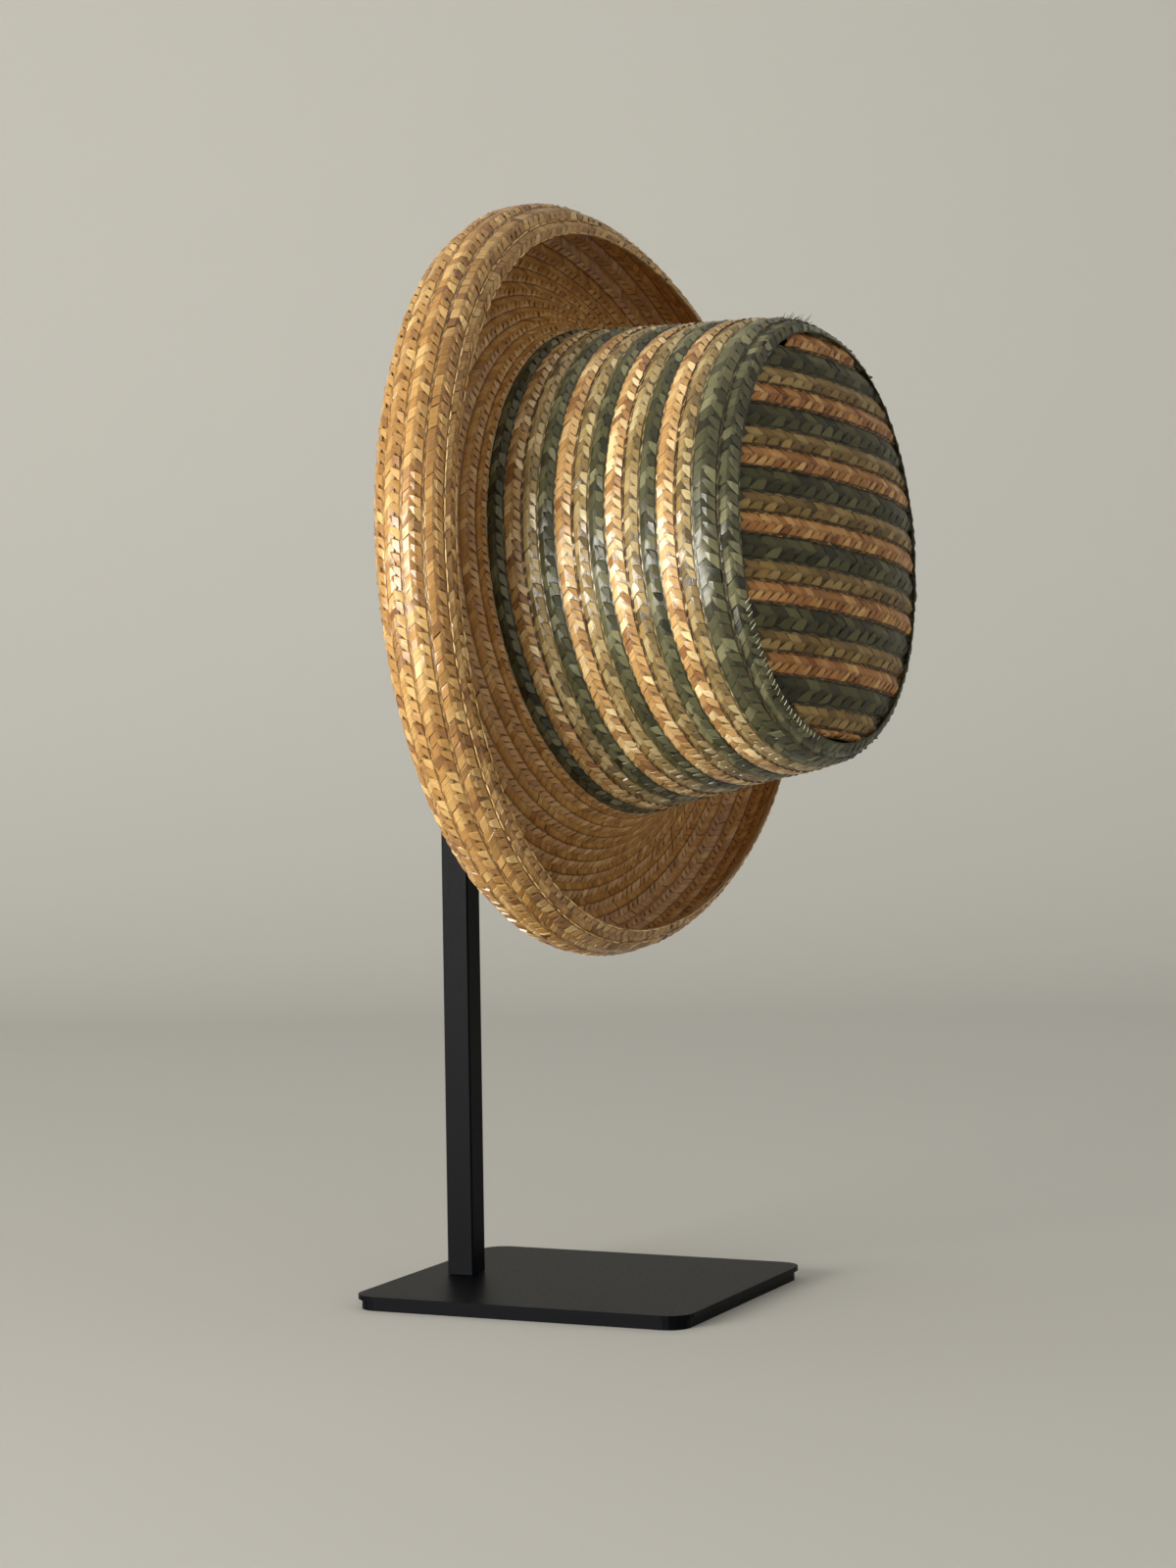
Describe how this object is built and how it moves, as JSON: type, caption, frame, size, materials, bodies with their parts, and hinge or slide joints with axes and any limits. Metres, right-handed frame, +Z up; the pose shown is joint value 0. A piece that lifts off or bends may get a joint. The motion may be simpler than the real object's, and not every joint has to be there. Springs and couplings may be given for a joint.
{
  "type": "striped straw hat on a metal display stand",
  "caption": "Sewn straw hat with a striped round-shouldered crown and an upturned rolled brim, held on its side by a black post stand with a flat foot.",
  "frame": {"origin": "middle of the underside of the stand's foot, on the surface that it rests on", "axes": "+Z up along the stand's post; +X the way the crown's tip points, square to the foot's short sides; +Y to the left as seen from the brim, looking along +X"},
  "size_m": [0.2125, 0.2842, 0.4539],
  "materials": {
    "brim_tan": "golden straw plait with a satin gloss",
    "tan": "orange-tan straw plait with a satin gloss",
    "olive": "olive-khaki straw plait with a satin gloss",
    "green": "dark grey-green straw plait with a satin gloss",
    "black": "satin black paint"
  },
  "bodies": {
    "root": {"brim_floor": "brim_tan", "brim_roll": "brim_tan", "brim_lip": "brim_tan", "crown_row_01": "green", "crown_row_02": "tan", "crown_row_03": "olive", "crown_row_04": "green", "crown_row_05": "tan", "crown_row_06": "olive", "crown_row_07": "green", "crown_row_08": "tan", "crown_row_09": "olive", "crown_row_10": "green", "crown_row_11": "tan", "crown_row_12": "olive", "crown_edge_braid": "green", "tip_binding_braid": "green", "tip_plait_01": "tan", "tip_plait_02": "green", "tip_plait_03": "olive", "tip_plait_04": "tan", "tip_plait_05": "green", "tip_plait_06": "olive", "tip_plait_07": "tan", "tip_plait_08": "green", "tip_plait_09": "olive", "tip_plait_10": "tan", "tip_plait_11": "green", "tip_plait_12": "olive", "tip_plait_13": "tan", "tip_plait_14": "green", "tip_plait_15": "olive", "tip_plait_16": "tan", "tip_plait_17": "green", "tip_plait_18": "olive", "tip_plait_19": "tan", "stand_plate": "black", "stand_slab": "black", "stand_post": "black", "stand_head": "black"}
  },
  "joints": []
}
